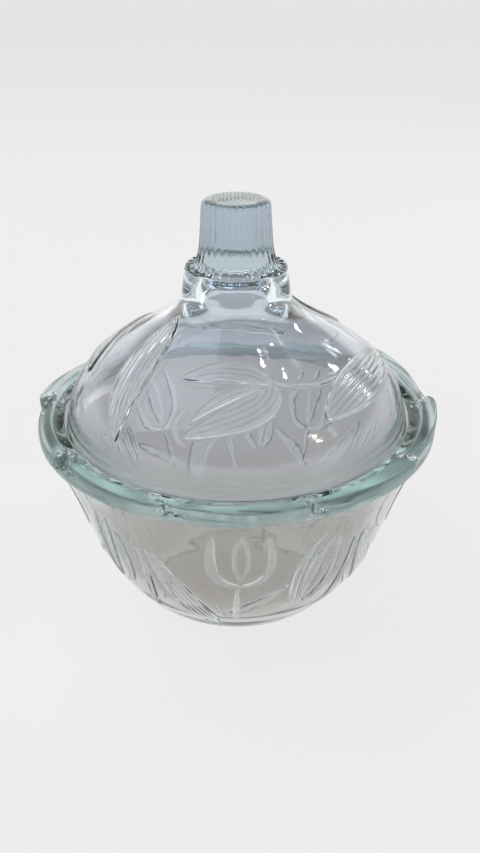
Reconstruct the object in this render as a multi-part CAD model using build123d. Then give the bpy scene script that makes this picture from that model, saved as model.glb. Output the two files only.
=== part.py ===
from build123d import *

import os
from math import asin, cos, degrees, pi, radians, sin

# Covered candy dish in pressed clear glass: a bowl and a lift-off lid.
# Frame: millimetres, +Z up, origin in the middle of the base on the table, front of the dish towards -Y.
# The bowl stands on a flat ring, flares upwards and ends in a rim of overlapping petals.
# A level ledge inside the rim carries the lid, which is one pressing with its neck and ribbed knob.

# Bowl
BASE_RADIUS = 44.8          # where the flaring wall would meet the table
BASE_ROUND = 4.0            # rounding between the base and the wall
BASE_FLARE_DEG = 49.0       # slope of the wall just above the base
BASE_FLARE_REACH = 31.5     # how far that slope governs the curve
TOP_FLARE_DEG = 67.5        # slope of the wall just under the rim
TOP_FLARE_REACH = 38.0      # how far that slope governs the curve
FOOT_RECESS_RADIUS = 35.0   # shallow hollow that leaves a ring to stand on
FOOT_RECESS_DEPTH = 1.2
FLOOR_THICKNESS = 6.5
WALL = 4.6                  # wall of the bowl at its base, measured level
INNER_BASE_ROUND = 14.0

# Rim
RIM_HEIGHT = 82.0           # petal tips above the table
RIM_RADIUS = 80.0           # petal tips from the axis
PETAL_COUNT = 10
PETAL_FIRST_TIP_DEG = -15.5  # first tip, from the front towards +X
PETAL_STEP_IN = 4.6         # how far a petal starts inside its tip
PETAL_STEP_DOWN = 2.6       # how far a petal starts below its tip
PETAL_THICKNESS = 5.0
PETAL_LAP_DEG = 7.0         # stretch that a petal runs on under the one before it
PETAL_BOW = 0.6             # how far a petal's edge bows out between its ends
PETAL_CREST_DEG = 5.0       # from the widest point of a petal to its end
PETAL_TIP_DROP = 3.0        # how far the rounded tip falls back inwards
PETAL_TIP_LEAN_DEG = 4.0    # how far the tip's inner end lies behind its outer end
PETAL_EDGE_ROUND = 1.3
PETAL_FACE_WIDTH = 6.8      # flat top of the petals, from the tip inwards
RING_INSET = 1.2            # ring under the petals, inside the tips
RING_HEIGHT = 3.2
RING_OVERHANG = 2.6         # ring proud of the wall
RING_ROUND = 1.2

# Ledge that the lid rests on
LEDGE_DEPTH = 6.0           # below the petal tips
LEDGE_WIDTH = 3.8
SEAT_INSET = 12.0           # from the petal tips to the step round the lid
LID_PLAY = 0.8              # gap round the lid in its seat
SEAT_RISE = 2.0             # steep step round the lid
SEAT_LEAN = 0.5             # how far that step leans outwards
GROOVE_DEPTH = 1.0          # groove behind the petals, below their lowest tops

# Lid
LID_WALL = 4.2
LID_EDGE_HEIGHT = 4.4       # upright edge above the ledge
LID_EDGE_STEP = 1.0         # edge proud of the dome
LID_EDGE_ROUND = 0.8
DOME_HEIGHT = 46.6          # from the top of the upright edge to the foot of the neck
DOME_LOWER_REACH = 24.0     # upright pull of the dome curve at its edge
DOME_UPPER_REACH = 13.0     # upright pull of the dome curve at the neck
NECK_HEIGHT = 10.0
NECK_TAPER = 1.4            # how much narrower the neck is under its shoulder than at its foot
SHOULDER_WIDTH = 1.8        # level stretch between the neck's side and the knob's flare
SHOULDER_ROUND = 1.6
BORE_RADIUS = 11.0          # hollow at the foot of the neck
BORE_END_RADIUS = 8.5       # hollow at its roof
BORE_END_ROUND = 4.0
NECK_ROOF = 5.0             # glass between the hollow and the shoulder

# Knob
KNOB_FOOT_RADIUS = 14.2     # straight side of the knob, carried down to the shoulder
KNOB_TOP_RADIUS = 12.4
KNOB_HEIGHT = 24.0
KNOB_TOP_ROUND = 3.0
FLARE_WIDTH = 3.0           # how far the knob's foot flares out past its straight side
FLARE_HEIGHT = 9.8
FLARE_PULL = 0.75           # share of the flare's width over which it leaves the shoulder level
FLARE_BEND = 0.45           # share of the flare's height where it turns upright
FLUTE_COUNT = 30
FLUTE_DEPTH = 0.55
FLUTE_LAND = 0.4            # ridge left between two flutes at the top of the knob

# Heights and radii that follow from the sizes above
LEDGE_Z = RIM_HEIGHT - LEDGE_DEPTH
SEAT_RADIUS = RIM_RADIUS - SEAT_INSET
LID_RADIUS = SEAT_RADIUS - LID_PLAY
MOUTH_RADIUS = SEAT_RADIUS - LEDGE_WIDTH
FACE_RADIUS = RIM_RADIUS - PETAL_FACE_WIDTH
GROOVE_Z = RIM_HEIGHT - PETAL_STEP_DOWN - GROOVE_DEPTH
RING_RADIUS = RIM_RADIUS - RING_INSET
RING_Z = RIM_HEIGHT - PETAL_STEP_DOWN - PETAL_THICKNESS
WALL_TOP_RADIUS = RING_RADIUS - RING_OVERHANG
LID_EDGE_Z = LEDGE_Z + LID_EDGE_HEIGHT
NECK_Z = LID_EDGE_Z + DOME_HEIGHT
KNOB_Z = NECK_Z + NECK_HEIGHT
TOP_Z = KNOB_Z + KNOB_HEIGHT
FLARE_RADIUS = KNOB_FOOT_RADIUS + FLARE_WIDTH
NECK_TOP_RADIUS = FLARE_RADIUS + SHOULDER_WIDTH
NECK_FOOT_RADIUS = NECK_TOP_RADIUS + NECK_TAPER


def at(radius, height):
    """A point of a half section, in the XZ plane."""
    return Vector(radius, 0, height)


def polar(radius, angle_deg, height=0.0):
    """A point given by its distance from the axis and its angle from the front towards +X."""
    angle = radians(angle_deg)
    return Vector(radius * sin(angle), -radius * cos(angle), height)


def half_section(start, steps):
    """Closed face beside the axis. A step is a corner (radius, height) or a curve that ends at one."""
    edges = []
    here = at(*start)
    for step in steps:
        if isinstance(step, tuple):
            edges.append(Line(here, at(*step)))
        else:
            edges.append(step)
        here = edges[-1] @ 1
    edges.append(Line(here, at(*start)))
    return make_face(edges)


def soften(face, corners):
    """Round corners of a flat face, each given as (radius, height, rounding)."""
    for radius, height, rounding in corners:
        corner = face.vertices().sort_by_distance(at(radius, height))[0]
        face = fillet(corner, rounding)
    return face


def wall_curve(base_radius, base_z, top_radius, top_z):
    """Wall profile: a cubic curve between the two radii that keeps the flare slopes at its ends."""
    scale = (top_z - base_z) / RING_Z
    base_slope = radians(BASE_FLARE_DEG)
    top_slope = radians(TOP_FLARE_DEG)
    lower = BASE_FLARE_REACH * scale
    upper = TOP_FLARE_REACH * scale
    return Bezier(
        at(base_radius, base_z),
        at(base_radius + lower * cos(base_slope), base_z + lower * sin(base_slope)),
        at(top_radius - upper * cos(top_slope), top_z - upper * sin(top_slope)),
        at(top_radius, top_z),
    )


def dome_curve(edge_radius, neck_radius):
    """Dome profile: a cubic curve that is upright at the lid's edge and again at the neck."""
    return Bezier(
        at(edge_radius, LID_EDGE_Z),
        at(edge_radius, LID_EDGE_Z + DOME_LOWER_REACH),
        at(neck_radius, NECK_Z - DOME_UPPER_REACH),
        at(neck_radius, NECK_Z),
    )


def bowl_blank():
    """Solid body of the bowl up to the ring under the petals, with the hollow in its foot."""
    ring_top_z = RING_Z + RING_HEIGHT
    face = half_section((0, FOOT_RECESS_DEPTH), [
        (FOOT_RECESS_RADIUS - FOOT_RECESS_DEPTH, FOOT_RECESS_DEPTH),
        (FOOT_RECESS_RADIUS, 0),
        (BASE_RADIUS, 0),
        wall_curve(BASE_RADIUS, 0, WALL_TOP_RADIUS, RING_Z),
        (RING_RADIUS, RING_Z),
        (RING_RADIUS, ring_top_z),
        (0, ring_top_z),
    ])
    face = soften(face, [
        (BASE_RADIUS, 0, BASE_ROUND),
        (WALL_TOP_RADIUS, RING_Z, RING_ROUND),
        (RING_RADIUS, RING_Z, RING_ROUND),
    ])
    return revolve(face, Axis.Z)


def petal(tip_deg):
    """One petal: a level plate that widens towards its tip, tipped so that it climbs to the rim height."""
    span = 360 / PETAL_COUNT
    start_deg = tip_deg - span - PETAL_LAP_DEG
    crest_deg = tip_deg - PETAL_CREST_DEG
    start_radius = RIM_RADIUS - PETAL_STEP_IN * (span + PETAL_LAP_DEG) / span
    root_radius = LID_RADIUS
    inner_end_deg = tip_deg - PETAL_TIP_LEAN_DEG
    edge = ThreePointArc(
        polar(start_radius, start_deg),
        polar((start_radius + RIM_RADIUS) / 2 + PETAL_BOW, (start_deg + crest_deg) / 2),
        polar(RIM_RADIUS, crest_deg),
    )
    tip = TangentArc(edge @ 1, polar(RIM_RADIUS - PETAL_TIP_DROP, tip_deg), tangent=edge % 1)
    root = ThreePointArc(
        polar(root_radius, inner_end_deg),
        polar(root_radius, (inner_end_deg + start_deg) / 2),
        polar(root_radius, start_deg),
    )
    outline = make_face([edge, tip, Line(tip @ 1, root @ 0), root, Line(root @ 1, edge @ 0)])
    plate = extrude(outline, amount=-PETAL_THICKNESS, dir=(0, 0, 1))
    plate = fillet(plate.edges().group_by(Axis.Z)[-1], PETAL_EDGE_ROUND)
    climb_deg = degrees(asin(PETAL_STEP_DOWN / (2 * RIM_RADIUS * sin(radians(span / 2)))))
    ridge = Axis((0, 0, 0), polar(1, tip_deg - span / 2))
    plate = plate.rotate(ridge, -climb_deg)
    return Pos(0, 0, RIM_HEIGHT - plate.bounding_box().max.Z) * plate


def bowl_cavity():
    """Room inside the bowl, with the ledge, the seat round the lid and the groove behind the petals."""
    over = RIM_HEIGHT + PETAL_THICKNESS
    face = half_section((0, FLOOR_THICKNESS), [
        (BASE_RADIUS - WALL, FLOOR_THICKNESS),
        wall_curve(BASE_RADIUS - WALL, FLOOR_THICKNESS, MOUTH_RADIUS, LEDGE_Z),
        (SEAT_RADIUS, LEDGE_Z),
        (SEAT_RADIUS + SEAT_LEAN, LEDGE_Z + SEAT_RISE),
        (FACE_RADIUS, GROOVE_Z),
        (FACE_RADIUS, over),
        (0, over),
    ])
    face = soften(face, [
        (BASE_RADIUS - WALL, FLOOR_THICKNESS, INNER_BASE_ROUND),
    ])
    return revolve(face, Axis.Z)


def make_bowl():
    """The bowl: blank and petals joined, less the room inside."""
    span = 360 / PETAL_COUNT
    petals = [petal(PETAL_FIRST_TIP_DEG + span * index) for index in range(PETAL_COUNT)]
    return bowl_blank() + petals - bowl_cavity()


def knob_side(height):
    """Radius of the knob's straight side at a height above the shoulder."""
    return KNOB_FOOT_RADIUS + (KNOB_TOP_RADIUS - KNOB_FOOT_RADIUS) * height / KNOB_HEIGHT


def flare_curve(off=0.0):
    """Hollow curve from the shoulder up into the knob's side, drawn a distance off the glass."""
    bend = FLARE_HEIGHT * FLARE_BEND
    return Bezier(
        at(FLARE_RADIUS, KNOB_Z + off),
        at(FLARE_RADIUS - FLARE_WIDTH * FLARE_PULL, KNOB_Z + off),
        at(knob_side(bend) + off, KNOB_Z + bend),
        at(knob_side(FLARE_HEIGHT) + off, KNOB_Z + FLARE_HEIGHT),
    )


def lid_blank():
    """Outside of the lid: upright edge, dome, neck, shoulder and plain knob."""
    face = half_section((0, LEDGE_Z), [
        (LID_RADIUS, LEDGE_Z),
        (LID_RADIUS, LID_EDGE_Z),
        (LID_RADIUS - LID_EDGE_STEP, LID_EDGE_Z),
        dome_curve(LID_RADIUS - LID_EDGE_STEP, NECK_FOOT_RADIUS),
        (NECK_TOP_RADIUS, KNOB_Z),
        (FLARE_RADIUS, KNOB_Z),
        flare_curve(),
        (KNOB_TOP_RADIUS, TOP_Z),
        (0, TOP_Z),
    ])
    face = soften(face, [
        (LID_RADIUS, LEDGE_Z, LID_EDGE_ROUND),
        (LID_RADIUS, LID_EDGE_Z, LID_EDGE_ROUND),
        (NECK_TOP_RADIUS, KNOB_Z, SHOULDER_ROUND),
        (KNOB_TOP_RADIUS, TOP_Z, KNOB_TOP_ROUND),
    ])
    return revolve(face, Axis.Z)


def lid_hollow():
    """Room under the lid: the dome's inside and the tapering bore up the neck."""
    roof_z = KNOB_Z - NECK_ROOF
    below = LEDGE_Z - LID_WALL
    face = half_section((0, below), [
        (LID_RADIUS - LID_WALL, below),
        (LID_RADIUS - LID_WALL, LID_EDGE_Z),
        dome_curve(LID_RADIUS - LID_WALL, BORE_RADIUS),
        (BORE_END_RADIUS, roof_z),
        (0, roof_z),
    ])
    face = soften(face, [(BORE_END_RADIUS, roof_z, BORE_END_ROUND)])
    return revolve(face, Axis.Z)


def flute_cutters():
    """Round bars along the knob, from the shoulder to past its top, which cut its flutes."""
    half_width = (2 * pi * KNOB_TOP_RADIUS / FLUTE_COUNT - FLUTE_LAND) / 2
    bar_radius = (half_width ** 2 + FLUTE_DEPTH ** 2) / (2 * FLUTE_DEPTH)
    off = bar_radius - FLUTE_DEPTH
    flare = flare_curve(off)
    past_top = KNOB_HEIGHT + bar_radius
    path = flare + Line(flare @ 1, at(knob_side(past_top) + off, KNOB_Z + past_top))
    section = Plane(origin=flare @ 0, z_dir=flare % 0) * Circle(bar_radius)
    bar = sweep(section, path=path) + Pos(*(flare @ 0)) * Sphere(bar_radius)
    return [Rot(0, 0, 360 / FLUTE_COUNT * index) * bar for index in range(FLUTE_COUNT)]


def make_lid():
    """The lid: blank less its hollow and the flutes round its knob."""
    return lid_blank() - lid_hollow() - flute_cutters()


def main():
    os.makedirs("parts", exist_ok=True)
    export_step(make_bowl(), "parts/bowl.step")
    export_step(make_lid(), "parts/lid.step")


main()
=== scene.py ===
from math import pi, radians

import bpy
import numpy as np
from bpy.props import FloatProperty, FloatVectorProperty, PointerProperty
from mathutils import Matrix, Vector


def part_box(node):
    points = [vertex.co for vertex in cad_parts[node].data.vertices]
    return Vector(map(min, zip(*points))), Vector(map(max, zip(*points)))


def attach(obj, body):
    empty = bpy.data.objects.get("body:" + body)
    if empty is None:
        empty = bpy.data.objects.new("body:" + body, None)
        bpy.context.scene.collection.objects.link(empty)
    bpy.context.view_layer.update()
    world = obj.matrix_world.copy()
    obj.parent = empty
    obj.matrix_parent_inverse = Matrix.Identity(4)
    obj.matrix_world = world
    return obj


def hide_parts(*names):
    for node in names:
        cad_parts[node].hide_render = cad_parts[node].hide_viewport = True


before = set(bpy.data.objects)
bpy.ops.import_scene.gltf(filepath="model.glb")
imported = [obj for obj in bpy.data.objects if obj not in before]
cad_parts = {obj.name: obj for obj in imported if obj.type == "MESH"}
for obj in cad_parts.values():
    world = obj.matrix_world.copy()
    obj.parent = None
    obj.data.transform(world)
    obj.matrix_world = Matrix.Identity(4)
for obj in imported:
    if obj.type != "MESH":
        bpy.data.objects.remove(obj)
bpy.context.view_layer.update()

bl_info = {
    "name": "Covered candy dish",
    "version": (1, 0, 0),
    "blender": (4, 5, 0),
    "location": "View3D > Sidebar > Candy dish",
    "description": "A pressed glass bowl with a petal rim, and its lid with a ribbed knob",
    "category": "Object",
}

# The frame is in metres. Motif places and small sizes are in millimetres, turned to metres by MM.
MM = 0.001
BOWL_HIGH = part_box("bowl")[1]
LID_LOW, LID_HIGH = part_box("lid")
RIM_Z = BOWL_HIGH[2]
LEDGE_Z = LID_LOW[2]
TOP_Z = LID_HIGH[2]
LID_RADIUS = (LID_HIGH[0] - LID_LOW[0]) / 2

# Grids: columns go round the axis. A coarse ring has one column for every STITCH fine ones.
PETALS = 10
FLUTES = 30
BOWL_COLUMNS_PER_PETAL = 60
LID_COLUMNS = 720
STITCH = 4
STEP_SHARE = 0.04           # share of a petal's span that its end step takes
STEP_COLUMNS = 12
BOWL_WALL_ROWS = 100
BOWL_INSIDE_ROWS = 44
DOME_ROWS = 84
DOME_INSIDE_ROWS = 40
SHOULDER_ROWS = 7
FLARE_ROWS = 14
KNOB_SIDE_ROWS = 10
CORNER_STEPS = 4
SOFT_CORNER_STEPS = 8
CURVE_SAMPLES = 801
MIDRIB_SAMPLES = 90
NECK_ROWS = 5
CORNER_LIMIT = 0.48         # share of a profile's side that a rounded corner may take

# Rim of the bowl
FIRST_TIP_DEG = -15.5
PETAL_SPAN_DEG = 360 / PETALS
CREST_DEG = 5.0             # from a petal's widest point to its end
TIP_LEAN_DEG = 4.0          # inner end of a petal's step, behind its outer end
TIP_DROP = 3.0 * MM
PETAL_BOW = 0.6 * MM
FACE_WIDTH = 6.8 * MM
RING_INSET = 1.2 * MM
RING_OVERHANG = 2.6 * MM
RING_HEIGHT = 2.8 * MM
PETAL_THICKNESS = 5.0 * MM
CRACKLE_SPREAD = 0.07       # share of a petal's span over which the rough end of a petal, with its painted highlight, fades
GROOVE_DROP = 3.6 * MM
SEAT_INSET = 12.0 * MM
SEAT_RISE = 2.0 * MM
SEAT_LEAN = 0.5 * MM
LEDGE_WIDTH = 3.8 * MM
MOUTH_ROUND = 1.2 * MM
RING_SHELF = 0.6 * MM       # flat strip under the ring, beside the wall
PETAL_UNDERSIDE = 0.1 * MM  # outer edge of the petals' underside, above the ring
LEAN_START = 0.2 * MM       # above the ring, where the petals' ends start to lean
# The groove's profile where the fine grid ends and where the coarse one starts: in from the petals' inner
# edge, and down from the groove's top
GROOVE_FINE_END = (2.0 * MM, 0.1 * MM)
GROOVE_COARSE_START = (3.0 * MM, 0.2 * MM)
# Reach of each rounded corner, from the wall over the ring and the petals to the groove
RIM_ROUNDS = (0.5 * MM, 1.1 * MM, 0.3 * MM, 0.3 * MM, 1.3 * MM, 0.9 * MM, 0.4 * MM)
SEAT_ROUNDS = (0.4 * MM, 0.4 * MM, MOUTH_ROUND)

# Wall of the bowl
BASE_FLARE_DEG = 49.0
BASE_FLARE_REACH = 31.5 * MM
TOP_FLARE_DEG = 67.5
TOP_FLARE_REACH = 38.0 * MM
BASE_ROUND = 1.8 * MM
FOOT_RECESS_RADIUS = 35.0 * MM
FOOT_RECESS = 1.2 * MM
FLOOR_THICKNESS = 6.5 * MM
INNER_BASE_ROUND = 9.0 * MM
INNER_BASE_START = 0.75     # share of that round, above the floor, where the wall's curve stops
FLOOR_CENTRE = 6.0 * MM
FOOT_CENTRE = FOOT_RECESS_RADIUS / 2
FOOT_ROUNDS = (0.4 * MM, 0.4 * MM, BASE_ROUND)

# Lid
LID_EDGE_HEIGHT = 4.4 * MM
LID_EDGE_STEP = 1.0 * MM
DOME_LOWER_REACH = 24.0 * MM
DOME_UPPER_REACH = 13.0 * MM
NECK_HEIGHT = 10.0 * MM
NECK_TAPER = 1.4 * MM
SHOULDER_WIDTH = 1.8 * MM
SHOULDER_ROUND = 1.6 * MM
BORE_RADIUS = 11.0 * MM
BORE_END_RADIUS = 8.5 * MM
BORE_END_ROUND = 3.4 * MM
BORE_CENTRE = BORE_END_RADIUS * 0.4
NECK_ROOF = 5.0 * MM
LID_EDGE_ROUNDS = (0.6 * MM, 0.8 * MM, 0.8 * MM, 0.2 * MM)
LID_EDGE_Z = LEDGE_Z + LID_EDGE_HEIGHT

# Knob
KNOB_HEIGHT = 24.0 * MM
KNOB_TOP_ROUND = 3.0 * MM
KNOB_TOP_FLAT = 1.5 * MM
FLARE_WIDTH = 3.0 * MM
FLARE_HEIGHT = 9.8 * MM
FLARE_PULL = 0.75           # share of the flare's width over which it leaves the shoulder level
FLARE_BEND = 0.45           # share of its height where it turns upright
FLUTE_LAND = 0.4 * MM       # ridge between two flutes at the top of the knob
SHOULDER_START = 0.6        # share of the shoulder's width, outside the flare, where its rows start
KNOB_Z = TOP_Z - KNOB_HEIGHT
NECK_Z = KNOB_Z - NECK_HEIGHT

# Where the thick glass starts to colour: a height and a distance from the axis, passed within the blend
RIM_TINT_BLEND = 2.0 * MM
RIM_BOUNDS = (RIM_Z - 8.0 * MM, 71.0 * MM)
LID_EDGE_BOUNDS = (LEDGE_Z - 2.0 * MM, 64.5 * MM)
# Above the knob's foot its glass takes a deeper painted shade and a painted cool reflection.
KNOB_BOUNDS = (KNOB_Z, -RIM_TINT_BLEND)

# Camera, as the photograph's: eye height, distance and tilt, with the focal length for its frame
CAMERA_PLACE = (0.0014, -0.2864, 0.2310)
CAMERA_TILT_DEG = 60.35
CAMERA_SENSOR = 36.0
CAMERA_LENS = 33.76
CAMERA_NEAR = 0.01


def between(low, high, x):
    """Smooth step: 0 below low, 1 above high, and 3s^2 - 2s^3 of the way s between them."""
    s = np.clip((x - low) / (high - low), 0.0, 1.0)
    return s * s * (3 - 2 * s)


def cubic(points, count=CURVE_SAMPLES):
    """Cubic curve: the four points weighted by (1-t)^3, 3(1-t)^2 t, 3(1-t) t^2 and t^3."""
    t = np.linspace(0.0, 1.0, count)[:, None]
    a, b, c, d = np.array(points, float)
    return (1 - t) ** 3 * a + 3 * (1 - t) ** 2 * t * b + 3 * (1 - t) * t ** 2 * c + t ** 3 * d


def even(line, count):
    """Points at even steps of the distance along a line."""
    gone = np.concatenate([[0.0], np.cumsum(np.linalg.norm(np.diff(line, axis=0), axis=1))])
    wanted = np.linspace(0.0, gone[-1], count)
    return np.stack([np.interp(wanted, gone, line[:, i]) for i in range(line.shape[1])], axis=1)


def spread(line, columns):
    """The same profile at every column: rows by columns by (radius, height)."""
    return np.repeat(np.asarray(line, float)[:, None, :], columns, axis=1)


def rounded(points, columns, reaches, steps=CORNER_STEPS):
    """Profile at every column through corners (radius, height), all but the ends turned into curves.

    A radius or height is a number or one value a column. A corner P between A and B becomes
    (1-t)^2 P1 + 2t(1-t) P + t^2 P2, where P1 and P2 lie the given reach away from P towards A and B,
    and no more than CORNER_LIMIT of the way there.
    """
    corners = np.empty((len(points), columns, 2))
    for corner, (radius, height) in zip(corners, points):
        corner[:, 0] = radius
        corner[:, 1] = height
    rows = [corners[0]]
    for i in range(1, len(corners) - 1):
        here = corners[i]
        ends = []
        for other in (corners[i - 1], corners[i + 1]):
            gap = np.linalg.norm(other - here, axis=1, keepdims=True)
            part = np.minimum(reaches[i - 1] / np.maximum(gap, 1e-9), CORNER_LIMIT)
            ends.append(here + (other - here) * part)
        for t in np.linspace(0.0, 1.0, steps):
            rows.append((1 - t) ** 2 * ends[0] + 2 * t * (1 - t) * here + t ** 2 * ends[1])
    rows.append(corners[-1])
    return np.array(rows)


def outward(line):
    """Unit normals of a profile: its run (dr, dz) turned to (dz, -dr), and divided by its length."""
    run = np.gradient(line, axis=0)
    out = np.stack([run[:, 1], -run[:, 0]], axis=1)
    return out / np.linalg.norm(out, axis=1, keepdims=True)


def place(profile, angles):
    """Points in space of a (radius, height) grid at angles from the front towards +X."""
    r, z = profile[..., 0], profile[..., 1]
    return np.stack([r * np.sin(angles), -r * np.cos(angles), z], axis=-1)


POINT_VALUES = ("relief_edge", "relief_lines", "crackle")


def plain_values(*shape):
    """The values of points that carry no relief and no crackle."""
    values = np.zeros((*shape, len(POINT_VALUES)))
    values[..., 0] = FAR_EDGE
    return values


class Shell:
    """A closed surface made of rings, from one pole on the axis to the other, with faces outwards."""

    def __init__(self):
        self.points = []
        self.faces = []
        self.values = []
        self.last = None
        self.count = 0

    def pole(self, height):
        """The first or last point, on the axis: a ring of one point."""
        self.rings(np.array([[[0.0, 0.0, height]]]))

    def rings(self, grid, values=None):
        """Rows by columns of points, joined to what came before; a finer or coarser ring is stitched."""
        for row, ring in enumerate(grid):
            here = np.arange(self.count, self.count + len(ring))
            self.count += len(ring)
            self.points.append(ring)
            self.values.append(plain_values(len(ring)) if values is None else values[row])
            if self.last is not None:
                self._join(self.last, here)
            self.last = here

    def _join(self, a, b):
        if len(a) == 1:
            self.faces.append(np.stack([np.full_like(b, a[0]), np.roll(b, -1), b], axis=1))
        elif len(b) == 1:
            self.faces.append(np.stack([a, np.roll(a, -1), np.full_like(a, b[0])], axis=1))
        elif len(a) == len(b):
            a2, b2 = np.roll(a, -1), np.roll(b, -1)
            self.faces.append(np.stack([a, a2, b2], axis=1))
            self.faces.append(np.stack([a, b2, b], axis=1))
        elif len(a) > len(b):
            self._stitch(a, b, False)
        else:
            self._stitch(b, a, True)

    def _stitch(self, fine, coarse, turned):
        """Join a ring to one with fewer points: a fan from each coarse point, and one face to the next."""
        ratio = len(fine) // len(coarse)
        blocks = fine.reshape(len(coarse), ratio)
        ahead = np.roll(blocks[:, 0], -1)
        full = np.concatenate([blocks, ahead[:, None]], axis=1)
        half = ratio // 2
        nxt = np.roll(coarse, -1)
        made = []
        for k in range(ratio):
            apex = coarse if k < half else nxt
            made.append(np.stack([full[:, k], full[:, k + 1], apex], axis=1))
        made.append(np.stack([full[:, half], nxt, coarse], axis=1))
        made = np.concatenate(made)
        self.faces.append(made[:, ::-1] if turned else made)

    def build(self, name, material):
        """The mesh object, smooth, with the relief's values on its points."""
        points = np.concatenate(self.points)
        faces = np.concatenate(self.faces)
        values = np.concatenate(self.values)
        mesh = bpy.data.meshes.new(name)
        mesh.from_pydata(points.tolist(), [], faces.tolist())
        mesh.validate()
        mesh.polygons.foreach_set("use_smooth", np.ones(len(mesh.polygons), bool))
        for index, label in enumerate(POINT_VALUES):
            layer = mesh.attributes.new(label, "FLOAT", "POINT")
            layer.data.foreach_set("value", values[:, index].astype(np.float32))
        mesh.materials.append(material)
        mesh.update()
        piece = bpy.data.objects.new(name, mesh)
        bpy.context.scene.collection.objects.link(piece)
        return piece


# Pressed relief. A blade is a leaf or petal: a midrib of four points on the wall, with a half width
# that swells and shrinks along it. Angles are in degrees from the front, and the second number of a
# point is its height on the bowl and its radius on the lid, both in millimetres.
FAR_EDGE = -9.0             # value of the edge distance far outside every blade, in millimetres
ALONG, PLAIN = 0, 1
LINE_PITCH = 2.0            # from one fine line to the next, in millimetres
BETWEEN_LINES = 0.5         # line count where no fine line stands out
BLADE_MARGIN = 3.0          # how far past a blade's half width its relief is worked out
BODY_RISE = (-0.7, 2.1)     # edge distances between which a blade rises to its body
RIDGE_INSET = 0.8           # middle of the ridge along a blade, inside its edge
RIDGE_WIDTH = 0.9
HEIGHT_BAND = (-1.5, 0.3)   # edge distances over which a newer blade's height takes over
EDGE_BAND = (-1.4, -0.2)    # the same for its edge distance
LINES_START = -0.6          # edge distance from which its line count holds
RELIEF_FADE = 0.05          # share of a wall's rows over which the relief fades at either end
WHOLE_RELIEF = 0.98         # share of its height from which the relief's edge distance is kept whole
OUTLINE_INSET = 0.6         # middle of the fine outline along a blade, inside its edge
OUTLINE_SHARPNESS = 2.4
LINE_RISE = (0.5, 1.3)      # edge distances between which fine lines rise to their height

BOWL_REPEATS = 5
BOWL_MOTIF = [
    # midrib points, half width, where it is widest, fullness of its ends, lines
    ([(-7, 4), (-15, 20), (-23, 34), (-29, 53)], 5.4, 0.5, 0.6, ALONG),
    ([(-4, 17), (3, 23), (9, 27), (18, 36)], 2.3, 0.45, 0.7, ALONG),
    ([(37, 11), (40, 24), (42, 38), (39, 53)], 1.8, 0.5, 0.6, PLAIN),
    ([(1, 39), (0, 30), (0, 24), (-0.5, 15)], 0.7, 0.5, 0.3, PLAIN),
    ([(24, 24), (24, 38), (27, 50), (30, 60)], 2.6, 0.5, 0.6, ALONG),
    ([(25, 22), (33, 25), (35, 40), (32, 57)], 1.7, 0.4, 0.5, PLAIN),
    ([(22, 22), (18.5, 32), (20, 48), (26, 61)], 1.9, 0.5, 0.55, PLAIN),
    ([(1.5, 41), (1.5, 50), (1.5, 58), (1.5, 68)], 3.1, 0.5, 0.6, PLAIN),
    ([(1, 38.5), (12, 38.6), (12.2, 50), (8.6, 67)], 1.5, 0.45, 0.45, PLAIN),
    ([(1, 38.5), (-8.6, 38.6), (-8.6, 50), (-6.2, 67)], 2.0, 0.45, 0.45, ALONG),
]
LID_REPEATS = 2
LID_MOTIF = [
    ([(16, 42), (29, 46), (42, 47), (57, 47)], 0.8, 0.5, 0.3, PLAIN),
    ([(-62, 24), (-57, 36), (-50, 50), (-41, 64)], 7.4, 0.5, 0.6, ALONG),
    ([(33, 57), (48, 51), (72, 50), (100, 57)], 7.6, 0.5, 0.6, ALONG),
    ([(-19, 51), (-22, 54), (-22, 59), (-16, 61)], 0.9, 0.5, 0.5, PLAIN),
    ([(16, 43), (12, 52), (0, 52), (-17, 59)], 5.7, 0.4, 0.55, ALONG),
    ([(14, 43), (0, 44), (-9, 48), (-16, 55)], 2.2, 0.45, 0.6, ALONG),
    ([(16, 43), (6, 36), (-10, 37), (-26, 42)], 4.4, 0.45, 0.6, ALONG),
]


def on_surface(angles_deg, wanted, profile, by):
    """Points of a surface of revolution, from angles and the values of one column of its profile."""
    order = np.argsort(profile[:, by])
    key = profile[order, by]
    r = np.interp(wanted, key, profile[order, 0])
    z = np.interp(wanted, key, profile[order, 1])
    a = np.radians(angles_deg)
    return np.stack([r * np.sin(a), -r * np.cos(a), z], axis=1)


def raise_height(edge, body, ridge):
    """How far a blade stands out: a smooth step up to its body, and a bell-shaped ridge along its edge."""
    return body * between(*BODY_RISE, edge) + ridge * np.exp(-((edge - RIDGE_INSET) / RIDGE_WIDTH) ** 2)


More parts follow.
